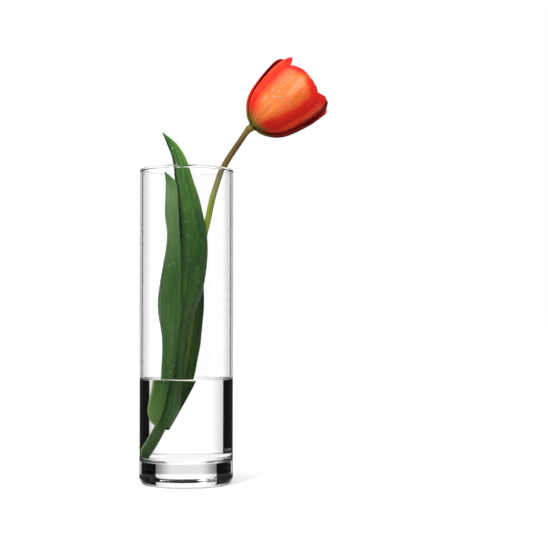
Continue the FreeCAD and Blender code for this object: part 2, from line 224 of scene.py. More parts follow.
class Nodes:
    """A material's node tree with its Principled shader."""

    def __init__(self, name, **settings):
        self.material = bpy.data.materials.new(name)
        self.material.use_nodes = True
        self.tree = self.material.node_tree
        self.shader = self.tree.nodes["Principled BSDF"]
        for key, value in settings.items():
            self.shader.inputs[key.replace("_", " ")].default_value = value

    def add(self, kind, values=None, **settings):
        node = self.tree.nodes.new(kind)
        for key, value in settings.items():
            setattr(node, key, value)
        for key, value in (values or {}).items():
            if isinstance(value, bpy.types.NodeSocket):
                self.tree.links.new(value, node.inputs[key])
            else:
                node.inputs[key].default_value = value
        return node

    def math(self, operation, first, second=0.0):
        return self.add("ShaderNodeMath", {0: first, 1: second}, operation=operation).outputs[0]

    def product(self, *factors):
        result = factors[0]
        for factor in factors[1:]:
            result = self.math("MULTIPLY", result, factor)
        return result

    def spread(self, value, low, high):
        """A 0 to 1 value stretched over low to high."""
        return self.add("ShaderNodeMapRange", {0: value, 3: low, 4: high}).outputs[0]

    def ramp(self, value, stops, interpolation="EASE"):
        node = self.add("ShaderNodeValToRGB", {0: value})
        node.color_ramp.interpolation = interpolation
        while len(node.color_ramp.elements) < len(stops):
            node.color_ramp.elements.new(1.0)
        for element, (place, colour) in zip(node.color_ramp.elements, stops):
            element.position = place
            element.color = (*colour, 1.0)
        return node.outputs[0]

    def mix(self, share, first, second):
        node = self.add("ShaderNodeMix", data_type="RGBA")
        for socket, value in zip((node.inputs[0], node.inputs[6], node.inputs[7]), (share, first, second)):
            if isinstance(value, bpy.types.NodeSocket):
                self.tree.links.new(value, socket)
            elif socket.type == "RGBA":
                socket.default_value = (*value, 1.0)
            else:
                socket.default_value = value
        return node.outputs[2]

    def noise(self, vector, scale, detail=3.0, roughness=0.5):
        values = {"Vector": vector, "Scale": scale, "Detail": detail, "Roughness": roughness}
        return self.add("ShaderNodeTexNoise", values).outputs[0]

    def place_noise(self, scale, detail=1.0):
        """Noise by the place on the object."""
        return self.noise(self.add("ShaderNodeTexCoord").outputs["Object"], scale, detail)

    def stretched(self, along, across):
        """The UV map stretched, for streaks that run along a blade; returns the vector."""
        uv = self.add("ShaderNodeTexCoord").outputs["UV"]
        return self.add("ShaderNodeMapping", {"Vector": uv, "Scale": (along, across, 1.0)}).outputs[0]

    def uv_parts(self):
        uv = self.add("ShaderNodeTexCoord").outputs["UV"]
        parts = self.add("ShaderNodeSeparateXYZ", {0: uv})
        return parts.outputs[0], parts.outputs[1]

    def span(self, value, start, end):
        """0 up to start, then a soft rise to 1 at end; start may be the larger one."""
        low, high, first, last = (start, end, 0.0, 1.0) if start < end else (end, start, 1.0, 0.0)
        values = {0: value, 1: low, 2: high, 3: first, 4: last}
        return self.add("ShaderNodeMapRange", values, interpolation_type="SMOOTHSTEP").outputs[0]

    def link(self, output, socket):
        self.tree.links.new(output, self.shader.inputs[socket])

    def bump(self, height, distance, strength=1.0):
        node = self.add("ShaderNodeBump", {"Height": height, "Distance": distance, "Strength": strength})
        self.link(node.outputs[0], "Normal")


# --- materials ------------------------------------------------------------------------


def clear_material(name, ior, polish=0.004):
    """Clear glass, a little uneven in its polish, or with no polish given clear water, uneven in its tint."""
    m = Nodes(name, Base_Color=(1.0, 1.0, 1.0, 1.0), Transmission_Weight=1.0, IOR=ior, Roughness=0.0)
    wave = m.place_noise(35.0)
    if polish:
        m.link(m.spread(wave, 0.0, polish), "Roughness")
    else:
        m.link(m.ramp(wave, [(0.3, (0.994, 0.998, 0.997)), (0.7, (1.0, 1.0, 1.0))]), "Base Color")
    return m.material


def bead_material():
    """Water standing in beads, partly white and diffuse as a painted highlight that shows them as pale spots."""
    m = Nodes("water_bead", Base_Color=(0.92, 0.97, 0.93, 1.0), Transmission_Weight=0.72, IOR=WATER_IOR)
    m.link(m.spread(m.place_noise(900.0), 0.05, 0.16), "Roughness")
    return m.material


def leaf_material(
    name, light, mid, dark, bloom=0.0, left_shade=0.0, right_light=0.0, foot_light=0.0, depth=0.4
):
    """Waxy leaf: parallel veins and ridges, dark green patches, painted shade on the left margin and over the
    lower part of the blade, painted light on the right margin, and a grey bloom at the tip.
    """
    m = Nodes(name, Specular_IOR_Level=0.22)
    along, across = m.uv_parts()
    veins = m.noise(m.stretched(1.6, 62.0), 1.0, 4.0, 0.62)
    plain = m.span(along, 0.34, 0.58)
    ridges = m.noise(m.stretched(0.9, 15.0), 1.0, 2.0, 0.5)
    ridges = m.product(m.math("SUBTRACT", ridges, 0.5), m.math("SUBTRACT", 1.1, plain))
    ridges = m.math("ADD", 0.5, ridges)
    broad = m.noise(m.stretched(4.0, 5.0), 1.0, 3.0)
    speckle = m.noise(m.stretched(120.0, 26.0), 1.0, 3.0, 0.6)
    shade = m.math("MULTIPLY", veins, 0.30)
    for part, weight in ((ridges, 0.34), (broad, 0.18), (speckle, 0.18)):
        shade = m.math("ADD", shade, m.math("MULTIPLY", part, weight))
    colour = m.ramp(shade, [(0.39, dark), (0.49, mid), (0.60, light)], "LINEAR")
    patches = m.noise(m.stretched(10.0, 3.0), 1.0, 4.0, 0.65)
    grey = m.math("ADD", 0.45, m.math("MULTIPLY", broad, 0.9))
    layers = [
        (m.product(m.span(patches, 0.47, 0.62), depth), (0.010, 0.052, 0.014)),
        # Painted shade: the left margin darker on the upper part of the blade.
        (m.product(m.span(across, 0.36, 0.16), m.span(along, 0.40, 0.60), left_shade), (0.008, 0.022, 0.005)),
        # Painted light: the right margin lighter towards the tip.
        (m.product(m.span(across, 0.78, 0.93), m.span(along, 0.72, 0.88), right_light), (0.34, 0.50, 0.07)),
        (m.product(m.span(along, 0.55, 0.80), m.span(along, 0.99, 0.90), grey, bloom), (0.17, 0.32, 0.11)),
        (m.product(m.span(along, 0.24, 0.02), foot_light), (0.22, 0.42, 0.05)),
        (m.product(m.span(across, 0.20, 0.04), m.span(along, 0.26, 0.12), 2 * foot_light), (0.42, 0.62, 0.12)),
        # Painted shade: the lower part of the blade darker in broad patches. depth sets this as well as the dark
        # green patches.
        (m.product(m.span(along, 0.80, 0.62), m.span(broad, 0.30, 0.60), depth), dark),
    ]
    for share, tint in layers:
        colour = m.mix(share, colour, tint)
    m.link(colour, "Base Color")
    m.link(m.spread(broad, 0.30, 0.46), "Roughness")
    m.bump(m.math("ADD", m.math("MULTIPLY", veins, 0.4), ridges), 0.0011, 0.8)
    return m.material


def stem_material():
    """Smooth stem: green under water, yellow green above, olive brown towards the flower."""
    m = Nodes("stem_skin", Specular_IOR_Level=0.3)
    along, around = m.uv_parts()
    streaks = m.noise(m.stretched(6.0, 22.0), 1.0, 3.0)
    place = m.math("ADD", along, m.math("MULTIPLY", m.math("SUBTRACT", streaks, 0.5), 0.10))
    colour = m.ramp(place, [
        (0.0, (0.035, 0.09, 0.02)), (0.3, (0.07, 0.16, 0.02)), (0.55, (0.30, 0.46, 0.03)),
        (0.70, (0.33, 0.45, 0.03)), (0.82, (0.15, 0.12, 0.014)), (0.93, (0.11, 0.06, 0.012)),
        (1.0, (0.18, 0.125, 0.02)),
    ], "LINEAR")
    colour = m.mix(m.math("MULTIPLY", m.span(streaks, 0.45, 0.75), 0.5), colour, (0.05, 0.045, 0.008))
    # Painted light: a lit yellow-green stripe down one side of the stem near its foot.
    painted_lit_stripe = m.span(m.math("ABSOLUTE", m.math("SUBTRACT", around, 0.5)), 0.42, 0.49)
    colour = m.mix(m.math("MULTIPLY", painted_lit_stripe, m.span(along, 0.16, 0.08)), colour, (0.36, 0.52, 0.10))
    m.link(colour, "Base Color")
    m.link(m.spread(streaks, 0.30, 0.46), "Roughness")
    m.bump(streaks, 0.0002, 0.5)
    return m.material


def petal_outside(
    name, centre, flame, margin, flame_width=0.30, streak_and_highlight=0.12, tip_light=0.0, middle_line=0.5, shade=0.0
):
    """Outer face of a petal: a pale flamed middle with fine streaks and pale patches that are partly a painted
    highlight, margins of another red, an olive foot, painted shade over one side and painted light at the tip.
    """
    m = Nodes(name, Specular_IOR_Level=0.22)
    along, across = m.uv_parts()
    middle = m.math("MULTIPLY", m.math("ABSOLUTE", m.math("SUBTRACT", across, middle_line)), 2.0)
    veins = m.noise(m.stretched(2.0, 85.0), 1.0, 4.0, 0.65)
    flames = m.noise(m.stretched(2.4, 20.0), 1.0, 4.0, 0.6)
    blotches = m.noise(m.stretched(2.6, 3.2), 1.0, 2.0)
    ragged = middle
    for part, weight in (
        (m.math("SUBTRACT", flames, 0.5), 0.55), (m.math("SUBTRACT", blotches, 0.5), 0.5),
        (m.span(along, 0.84, 1.0), 0.6), (m.span(along, 0.45, 0.22), 0.30),
    ):
        ragged = m.math("ADD", ragged, m.math("MULTIPLY", part, weight))
    edge = min(flame_width + 0.30, 0.95)
    colour = m.ramp(ragged, [(0.0, centre), (flame_width, flame), (edge, margin)], "LINEAR")
    foot = m.math("ADD", along, m.math("MULTIPLY", flames, 0.16))
    layers = [
        # Pale peach patches in the middle: partly the petal's own pale flames, partly a painted highlight.
        (m.product(m.span(blotches, 0.50, 0.66), m.span(ragged, 0.65, 0.25), streak_and_highlight), (0.86, 0.40, 0.20)),
        (m.product(m.span(veins, 0.52, 0.66), m.span(ragged, 0.75, 0.25), streak_and_highlight), (0.80, 0.36, 0.045)),
        (m.product(m.span(veins, 0.46, 0.34), 0.45), (0.52, 0.035, 0.006)),
        (m.span(foot, 0.33, 0.12), (0.13, 0.12, 0.012)),
        # Painted shade: one side of the petal darker.
        (m.product(m.span(across, 0.47, 0.62), shade), (0.10, 0.003, 0.003)),
        # Painted light: the tip a brighter red.
        (m.product(m.span(along, 0.86, 0.98), tip_light), (0.72, 0.020, 0.006)),
    ]
    for share, tint in layers:
        colour = m.mix(share, colour, tint)
    m.link(colour, "Base Color")
    m.link(m.spread(flames, 0.28, 0.44), "Roughness")
    m.bump(m.math("ADD", m.math("MULTIPLY", veins, 0.5), m.math("MULTIPLY", flames, 0.6)), 0.0006, 0.7)
    return m.material


def petal_inside():
    """Inner face of a petal: deep red over a black blotch with a yellow edge at the foot."""
    m = Nodes("petal_inside", Specular_IOR_Level=0.2)
    along, across = m.uv_parts()
    veins = m.noise(m.stretched(2.5, 60.0), 1.0, 3.0, 0.6)
    side = m.math("MULTIPLY", m.span(m.math("ABSOLUTE", m.math("SUBTRACT", across, 0.5)), 0.26, 0.46), 0.35)
    uneven = m.math("MULTIPLY", m.math("SUBTRACT", veins, 0.5), 0.10)
    colour = m.ramp(m.math("ADD", m.math("ADD", along, side), uneven), [
        (0.0, (0.010, 0.008, 0.012)), (0.24, (0.014, 0.008, 0.012)), (0.28, (0.55, 0.36, 0.02)),
        (0.36, (0.30, 0.010, 0.008)), (1.0, (0.52, 0.018, 0.012)),
    ])
    m.link(colour, "Base Color")
    m.bump(veins, 0.0002, 0.5)
    return m.material


def speckled_material(name, first, second, scale, roughness=0.7):
    """Powdery or velvety surface with fine grains of a second colour."""
    m = Nodes(name, Roughness=roughness, Sheen_Weight=0.3)
    grain = m.place_noise(scale, 4.0)
    m.link(m.ramp(grain, [(0.4, first), (0.62, second)]), "Base Color")
    m.bump(grain, 0.0003, 0.7)
    return m.material


# --- vase and water -------------------------------------------------------------------


def arc(centre, radius, start, end, steps):
    """Points of a round corner in the profile plane, from one angle to another in degrees."""
    points = []
    for i in range(steps + 1):
        a = math.radians(start + (end - start) * i / steps)
        points.append((centre[0] + radius * math.cos(a), centre[1] + radius * math.sin(a)))
    return points


def straight(start, end, steps):
    """Points strictly between two profile points, two of them close to each end to keep smooth shading flat."""
    length = math.hypot(end[0] - start[0], end[1] - start[1])
    near = [0.15 * MM / length, 0.5 * MM / length]
    shares = near + [i / steps for i in range(1, steps)] + [1 - near[1], 1 - near[0]]
    return [(start[0] + (end[0] - start[0]) * t, start[1] + (end[1] - start[1]) * t) for t in shares]


def spin(name, profile, materials, slot_of, steps=192):
    """A closed turned solid from a profile that starts and ends on the axis."""
    points = [(0.0, 0.0, profile[0][1])]
    rings = profile[1:-1]
    for radius, height in rings:
        for k in range(steps):
            a = 2 * math.pi * k / steps
            points.append((radius * math.cos(a), radius * math.sin(a), height))
    points.append((0.0, 0.0, profile[-1][1]))
    last = len(points) - 1
    faces, slots = [], []
    for k in range(steps):
        n = (k + 1) % steps
        faces.append((0, 1 + n, 1 + k))
        slots.append(slot_of(*profile[0], *profile[1]))
    for i in range(len(rings) - 1):
        low, high = 1 + i * steps, 1 + (i + 1) * steps
        for k in range(steps):
            n = (k + 1) % steps
            faces.append((low + k, low + n, high + n, high + k))
            slots.append(slot_of(*rings[i], *rings[i + 1]))
    top = 1 + (len(rings) - 1) * steps
    for k in range(steps):
        n = (k + 1) % steps
        faces.append((top + k, top + n, last))
        slots.append(slot_of(*profile[-2], *profile[-1]))
    return mesh_object(name, points, faces, None, materials, slots)


def bore_profile(inset, start_height):
    """The inside of the vase from a height on its wall down to the middle of its floor."""
    radius, floor = BORE_RADIUS - inset, BASE_THICKNESS + inset
    corner = (radius - FLOOR_CORNER, floor + FLOOR_CORNER)
    wall = straight((radius, start_height), (radius, corner[1]), 6)
    bend = arc(corner, FLOOR_CORNER, 0, -90, 12)
    inner = straight(bend[-1], (0.0, floor), 5)
    return [(radius, start_height), *wall, *bend, *inner, (0.0, floor)]


def make_vase():
    """Thick-based straight glass with a rounded heel and a fire-polished rim."""
    heel_centre = (VASE_RADIUS - HEEL_RADIUS, HEEL_RADIUS)
    heel = arc(heel_centre, HEEL_RADIUS, -90, 0, 16)
    bottom = straight((0.0, 0.0), heel[0], 6)
    bead_end = 180 + math.degrees(math.acos((WALL - RIM_BEAD) / RIM_BEAD))
    rim_points = arc((VASE_RADIUS - RIM_BEAD, VASE_HEIGHT - RIM_BEAD), RIM_BEAD, 0, bead_end, 28)
    outside = straight(heel[-1], rim_points[0], 10)
    below = (BORE_RADIUS, rim_points[-1][1] - 0.3 * MM)
    dry = [below, *straight(below, (BORE_RADIUS, CONTACT_HEIGHT), 8)]
    profile = [(0.0, 0.0), *bottom, *heel, *outside, *rim_points, *dry, *bore_profile(0.0, CONTACT_HEIGHT)]

    def slot_of(r0, z0, r1, z1):
        """1 where the glass is wet inside, 0 elsewhere."""
        inside = max(r0, r1) <= BORE_RADIUS + HAIR and min(z0, z1) >= BASE_THICKNESS - HAIR
        return 1 if inside and max(z0, z1) <= CONTACT_HEIGHT + HAIR else 0

    materials = [
        clear_material("clear_glass", GLASS_IOR), clear_material("glass_against_water", GLASS_IOR / WATER_IOR)
    ]
    fit_piece(spin("glass_vase", profile, materials, slot_of), "vase", "vase")


def make_water():
    """Still water that meets the glass and creeps a little way up it."""
    radius = BORE_RADIUS - WATER_INSET
    surface = [(0.0, WATER_LEVEL)]
    for i in range(1, 41):
        r = radius * (1 - (1 - i / 40) ** 2)
        surface.append((r, WATER_LEVEL + MENISCUS_RISE * math.exp((r - radius) / MENISCUS_REACH)))
    side = bore_profile(WATER_INSET, CONTACT_HEIGHT)[1:]
    profile = list(reversed(surface + side))

    def slot_of(r0, z0, r1, z1):
        """0 on the surface, 1 against the glass, which bends the light there for both."""
        return 0 if min(z0, z1) >= WATER_LEVEL - HAIR and min(r0, r1) < radius - HAIR else 1

    materials = [
        clear_material("water_surface", WATER_IOR, 0.0), clear_material("water_against_glass", 1.0, 0.0)
    ]
    fit_piece(spin("still_water", profile, materials, slot_of), "water", "water")


# --- stem and leaves ------------------------------------------------------------------


def flower_axes():
    """The flower's front, side and axis directions, and its base."""
    axis = Vector((math.sin(FLOWER_LEAN), 0.0, math.cos(FLOWER_LEAN)))
    front = Vector((0.0, -1.0, 0.0))
    return front, axis.cross(front), axis, Vector(STEM_ROUTE[-1]) * MM


def make_stem():
    """Tapering stem, a little uneven, that swells into the receptacle under the petals."""
    axis, base = flower_axes()[2:]
    route = [Vector(p) * MM for p in STEM_ROUTE]
    route[-1] = base - axis * RECEPTACLE_LENGTH
    route.append(base)
    keys = [0.0]
    for a, b in zip(route, route[1:]):
        keys.append(keys[-1] + (b - a).length)
    at = track(keys, [list(p) for p in route])
    rings, sides = 220, 28
    length = keys[-1]
    points, uvs = [], []
    for i in range(rings):
        s = length * i / (rings - 1)
        here = Vector(at(s))
        ahead = (Vector(at(min(s + 0.0005, length))) - Vector(at(max(s - 0.0005, 0)))).normalized()
        side = ahead.cross(Vector((0, 1, 0))).normalized()
        up = side.cross(ahead)
        share = s / length
        radius = STEM_BOTTOM_RADIUS + (STEM_TOP_RADIUS - STEM_BOTTOM_RADIUS) * share
        near = max(0.0, (s - length + 2 * RECEPTACLE_LENGTH) / (2 * RECEPTACLE_LENGTH))
        radius += (RECEPTACLE_RADIUS - STEM_TOP_RADIUS) * near ** 2 * (3 - 2 * near)
        for k in range(sides):
            a = 2 * math.pi * k / sides
            uneven = 1 + 0.035 * noise.noise(Vector((math.cos(a), math.sin(a), s * 60)))
            points.append(here + (side * math.cos(a) + up * math.sin(a)) * radius * min(uneven, 1.0))
            uvs.append((share, k / sides))
    faces = grid_faces(rings, sides, True)
    faces.append(tuple(reversed(range(sides))))
    faces.append(tuple(range((rings - 1) * sides, rings * sides)))
    stem = mesh_object("tulip_stem", points, faces, uvs, [stem_material()])
    fit_piece(stem, "tulip", "stem")


class Blade:
    """A leaf's surface: point(along, across) with along 0 to 1 and across -1 to 1."""

    def __init__(self, levels, wave, seed):
        self.heights = [row[0] * MM for row in levels]
        rows = [[v * MM for pair in row[1:] for v in pair] for row in levels]
        self.at = track(self.heights, rows)
        self.wave = wave
        self.seed = seed

    def frame(self, along, across):
        """Point on the blade and the direction away from its hollow side."""
        z = self.heights[0] + (self.heights[-1] - self.heights[0]) * along
        row = self.at(z)
        left, middle, right = (Vector((row[i], row[i + 1], z)) for i in (0, 2, 4))
        ab, ac = middle - left, right - left
        normal = ab.cross(ac)
        centre = left + (normal.cross(ab) * ac.length_squared + ac.cross(normal) * ab.length_squared) / (
            2 * normal.length_squared
        )
        radius = (middle - centre).length
        e1 = (middle - centre) / radius
        e2 = normal.normalized().cross(e1)
        end = left if across < 0 else right
        angle = math.atan2((end - centre).dot(e2), (end - centre).dot(e1)) * abs(across)
        outward = e1 * math.cos(angle) + e2 * math.sin(angle)
        return centre + outward * radius, outward

    def point(self, along, across):
        here, outward = self.frame(along, across)
        edge = abs(across) ** 3
        flutter = noise.noise(Vector((along * 9, math.copysign(4, across), self.seed)))
        crease = -0.35 * MM * math.exp(-((across / 0.10) ** 2))
        taper = min(1.0, 5 * along, 5 * (1 - along))
        return here + outward * (self.wave * edge * flutter + crease) * taper


def make_leaf(name, node, levels, material, wave, seed):
    """A leaf blade, thick at its midrib and thin at its margins."""
    blade = Blade(levels, wave, seed)
    rows, columns = 150, 25
    outside, inside, uvs = [], [], []
    for i in range(rows):
        along = i / (rows - 1)
        for j in range(columns):
            across = -1 + 2 * j / (columns - 1)
            here = blade.point(along, across)
            outward = blade.frame(along, across)[1]
            depth = LEAF_THICKNESS * (0.25 + 0.75 * (1 - abs(across) ** 2.5)) * min(1.0, 0.2 + 6 * (1 - along))
            outside.append(here)
            inside.append(here - outward * depth)
            uvs.append((along, j / (columns - 1)))
    faces = grid_faces(rows, columns)
    shift = rows * columns
    faces += [tuple(shift + v for v in reversed(face)) for face in faces]
    faces += edge_faces(rows, columns, shift)
    fit_piece(mesh_object(name, outside + inside, faces, uvs + uvs, [material]), "tulip", node)
    return blade


def edge_faces(rows, columns, shift):
    """The narrow faces that close a two-sided grid round its four edges."""
    last = rows - 1
    ring = list(range(columns))
    ring += [i * columns + columns - 1 for i in range(1, rows)]
    ring += [last * columns + j for j in range(columns - 2, -1, -1)]
    ring += [i * columns for i in range(rows - 2, 0, -1)]
    return [(ring[k], ring[k - 1], ring[k - 1] + shift, ring[k] + shift) for k in range(len(ring))]


# --- flower ---------------------------------------------------------------------------


class Petal:
    """A petal's surface: point(along, across), standing at an angle round the flower axis."""

    def __init__(self, angle, half_angle, inset, seed, flare, ruffle, hug, blunt, stretch, ragged):
        front, side, self.axis, self.base = flower_axes()
        a = math.radians(angle)
        self.out = front * math.cos(a) + side * math.sin(a)
        self.tangent = self.axis.cross(self.out)
        self.half_angle = math.radians(half_angle)
        self.inset = inset
        self.seed = seed
        self.flare = flare
        self.ruffle = ruffle
        self.hug = hug
        self.ragged = ragged * MM
        keys = [0.0]
        for a, b in zip(PETAL_PROFILE, PETAL_PROFILE[1:]):
            keys.append(keys[-1] + math.hypot(b[0] - a[0], b[1] - a[1]) * MM)
        self.length = keys[-1]
        self.at = track(keys, [(r * MM, h * MM * stretch, share ** blunt) for r, h, share in PETAL_PROFILE])

    def frame(self, along, across):
        """Point on the petal before its waves, and the direction away from the flower's middle."""
        s = along * self.length
        step = 0.0004
        r, h, share = self.at(s)
        r1, h1, _ = self.at(min(s + step, self.length))
        r0, h0, _ = self.at(max(s - step, 0))
        run = math.hypot(r1 - r0, h1 - h0)
        ahead = ((r1 - r0) / run, (h1 - h0) / run)
        inward = self.out * -ahead[1] + self.axis * ahead[0]
        centre = self.base + self.out * r + self.axis * h + inward * self.inset
        reach = r - ahead[1] * self.inset
        curve = reach / max(abs(ahead[1]), 0.35)
        share = max(share, 0.02)
        half = min(curve * math.sin(self.half_angle * share), reach * math.tan(self.half_angle * share))
        angle = math.asin(min(half / curve, 0.98)) * across
        outward = -inward * math.cos(angle) + self.tangent * math.sin(angle)
        return centre + inward * curve + outward * curve, outward

    def point(self, along, across):
        here, outward = self.frame(along, across)
        edge = abs(across) ** 3
        flutter = noise.noise(Vector((along * 6, math.copysign(3, across), self.seed)))
        ripple = noise.noise(Vector((along * 22, across * 2.5, self.seed + 9)))
        top = max(0.0, along - 0.35) / 0.65
        low = 1 - max(0.0, along - 0.45) / 0.55
        move = self.flare * edge * top - self.hug * edge * low
        move += self.ruffle * (flutter * edge + 0.25 * ripple * edge) * min(1.0, 4 * along)
        crease = -0.5 * MM * math.exp(-((across / 0.12) ** 2)) * min(1.0, 3 * along)
        ragged = noise.noise(Vector((across * 2.2, self.seed, 1.5)))
        ragged += 0.5 * noise.noise(Vector((across * 7, self.seed, 4.5)))
        tip = ragged * self.ragged * max(0.0, along - 0.85) / 0.15
        return here + outward * (move + crease) + self.axis * tip


def make_petal(name, node, body, petal, outside_material, inside_material):
    """A two-sided petal: flamed outside, deep red inside."""
    rows, columns = 90, 41
    outer, inner, uvs = [], [], []
    for i in range(rows):
        along = 1 - (1 - i / (rows - 1)) ** 1.25
        for j in range(columns):
            across = -1 + 2 * j / (columns - 1)
            here = petal.point(along, across)
            outward = petal.frame(along, across)[1]
            depth = PETAL_THICKNESS * (0.35 + 0.65 * (1 - abs(across) ** 3))
            depth *= min(1.0, 0.35 + 3 * (1 - along))
            outer.append(here)
            inner.append(here - outward * depth)
            uvs.append((along, j / (columns - 1)))
    front = grid_faces(rows, columns)
    shift = rows * columns
    back = [tuple(shift + v for v in reversed(face)) for face in front]
    rim = edge_faces(rows, columns, shift)
    slots = [0] * len(front) + [1] * len(back) + [0] * len(rim)
    faces, materials = front + back + rim, [outside_material, inside_material]
    fit_piece(mesh_object(name, outer + inner, faces, uvs + uvs, materials, slots), body, node)


def make_petals():
    """Three outer and three inner petals; the first outer one faces the front."""
    inside = petal_inside()
    bright = petal_outside(
        "petal_flamed", (0.72, 0.19, 0.045), (0.68, 0.105, 0.014), (0.66, 0.012, 0.006),
        flame_width=0.50, streak_and_highlight=0.55, middle_line=0.42,
    )
    plain = petal_outside("petal_plain", (0.70, 0.040, 0.010), (0.66, 0.020, 0.008), (0.60, 0.012, 0.006))
    # Painted light and shade: a brighter red than the plain petals, standing in for light, with painted shade
    # over one side.
    half_lit = petal_outside(
        "petal_half_lit", (0.84, 0.040, 0.012), (0.82, 0.022, 0.012), (0.80, 0.014, 0.010), shade=0.85
    )
    # Painted shade: a much darker copy of the red for the lower petal, with painted light at its tip.
    deep = petal_outside(
        "petal_painted_shade", (0.30, 0.006, 0.003), (0.26, 0.005, 0.003), (0.24, 0.004, 0.002), streak_and_highlight=0.05, tip_light=1.0
    )
    # Ring, number, angle round the flower and half width in degrees, material, ruffle in millimetres, bluntness,
    # stretch along the flower, flare in millimetres, raggedness of the tip in millimetres.
    shapes = [
        ("outer", 1, 0, 44, bright, 0.2, 0.30, 1.01, 0.2, 0.3),
        ("outer", 2, 120, 44, deep, 1.1, 0.8, 1.03, 0.8, 1.0),
        ("outer", 3, 240, 44, plain, 0.5, 0.8, 1.0, 2.2, 0.6),
        ("inner", 1, 60, 42, half_lit, 0.7, 0.45, 1.05, 0.4, 0.6),
        ("inner", 2, 180, 42, plain, 0.9, 0.8, 1.02, 0.4, 1.0),
        ("inner", 3, 292, 42, plain, 0.4, 1.05, 1.05, 0.4, 0.6),
    ]
    petals = {}
    for ring, k, angle, half, material, ruffle, blunt, stretch, flare, ragged in shapes:
        inset, hug = (0.0, PETAL_HUG) if ring == "outer" else (PETAL_LAYER, 0.0)
        seed = 7.3 * k + angle
        petal = Petal(angle, half, inset, seed, flare * MM, ruffle * MM, hug, blunt, stretch, ragged)
        name = f"{ring}_petal_{k}"
        make_petal(name, f"petal_{ring}_{k}", name, petal, material, inside)
        petals[name] = petal
    return petals


# --- droplets -------------------------------------------------------------------------

# A bead's height as a share of its radius, and how far round it goes before it meets the leaf.
BEAD_FLATNESS = 0.62
BEAD_REACH = math.pi * 0.62


def make_droplets(name, body, surface, spots, material):
    """Beads of water that sit on a blade or petal; surface gives a point and its outward direction."""
    points, faces = [], []
    rings, sides = 7, 16
    for along, across, radius in spots:
        here, outward = surface(along, across)
        up = outward.normalized()
        side = up.orthogonal().normalized()
        other = up.cross(side)
        start = len(points)
        points.append(here + up * radius * BEAD_FLATNESS)
        for i in range(1, rings):
            a = BEAD_REACH * i / (rings - 1)
            for k in range(sides):
                b = 2 * math.pi * k / sides
                flat = (side * math.cos(b) + other * math.sin(b)) * math.sin(a) * radius
                points.append(here + flat + up * math.cos(a) * radius * BEAD_FLATNESS)
        for k in range(sides):
            faces.append((start, start + 1 + k, start + 1 + (k + 1) % sides))
        for i in range(rings - 2):
            low, high = start + 1 + i * sides, start + 1 + (i + 1) * sides
            for k in range(sides):
                n = (k + 1) % sides
                faces.append((low + k, high + k, high + n, low + n))
        faces.append(tuple(start + 1 + (rings - 2) * sides + k for k in range(sides - 1, -1, -1)))
    fit_piece(mesh_object(name, points, faces, None, [material]), body, None)


def on_blade(blade):
    """The surface that beads sit on: a point and its outward direction."""
    return lambda along, across: (blade.point(along, across), blade.frame(along, across)[1])


def scatter(seed, count, along, across, smallest, largest):
    """Beads at places spread over part of a surface, a few large and most small."""
    chance = random.Random(seed)
    spots = []
    for _ in range(count):
        place = chance.uniform(*along), chance.uniform(*across)
        spots.append((*place, smallest + (largest - smallest) * chance.random() ** 3))
    return spots


# --- camera, floor and light ----------------------------------------------------------


def make_camera():
    """Level studio camera a little over half the vase's height, turned slightly to the right of it."""
    data = bpy.data.cameras.new("camera")
    camera = bpy.data.objects.new("camera", data)
    scene.collection.objects.link(camera)
    data.sensor_width = 36.0
    data.lens = 83.4
    camera.location = (0.0, -1.233, 0.163)
    camera.rotation_euler = (math.radians(91.8), 0.0, math.radians(-3.94))
    scene.camera = camera


# Round the horizon from the backdrop at +Y, as shares of a half turn: a dark flag on either side of it,
# and a wide dark screen behind the camera. All of it was placed for the photo's view of the glass, and
# other views show its bands in other places.
FLAG_START = 29.5 / 180
FLAG_END = 66.0 / 180
SCREEN_START = 114.0 / 180
FLAG_SOFTNESS = 3.0 / 180
BACKDROP = 1.16
BACKDROP_EDGE = 0.72
OPEN_ROOM = 0.95
SCREEN = 0.03
# Z part of the direction of a ray at which the backdrop's dim foot and the white table start and are complete.
# Tuned on the photo's view, too.
BACKDROP_FOOT = (-0.106, -0.118)
TABLE = (-0.145, -0.165)


def studio_seen_through_glass(m, direction):
    """Brightness by direction: a backdrop, dimmer at its edges and foot, flags, a screen and a white table."""
    parts = m.add("ShaderNodeSeparateXYZ", {0: direction})
    angle = m.math("ABSOLUTE", m.math("ARCTAN2", parts.outputs[0], parts.outputs[1]))
    share = m.math("DIVIDE", angle, math.pi)
    levels = [
        (0.0, BACKDROP), (FLAG_START * 0.45, BACKDROP), (FLAG_START - 0.002, BACKDROP_EDGE), (FLAG_START, 0.0),
        (FLAG_END, 0.0), (FLAG_END + FLAG_SOFTNESS, OPEN_ROOM), (SCREEN_START - FLAG_SOFTNESS, OPEN_ROOM),
        (SCREEN_START, SCREEN),
    ]
    pattern = m.ramp(share, [(place, (level,) * 3) for place, level in levels], "LINEAR")
    dim = m.math("ADD", 0.28, m.math("MULTIPLY", m.span(share, FLAG_START * 0.35, FLAG_START), 0.38))
    dim = m.math("MULTIPLY", dim, m.span(share, FLAG_END, FLAG_START))
    pattern = m.mix(m.math("MULTIPLY", m.span(parts.outputs[2], *BACKDROP_FOOT), dim), pattern, (0.0, 0.0, 0.0))
    return m.mix(m.span(parts.outputs[2], *TABLE), pattern, (1.0, 1.0, 1.0))


# Where the soft light comes from: above, to the left and in front.
SOFT_FROM = (-0.46, -0.42, 0.78)
# What the glass reflects directly.
DARK_ROOM = (0.05, 0.05, 0.05)
FLOOR_REACH = 12.0


class WorldNodes(Nodes):
    """The same small tools on the world's node tree."""

    def __init__(self, world):
        world.use_nodes = True
        self.tree = world.node_tree


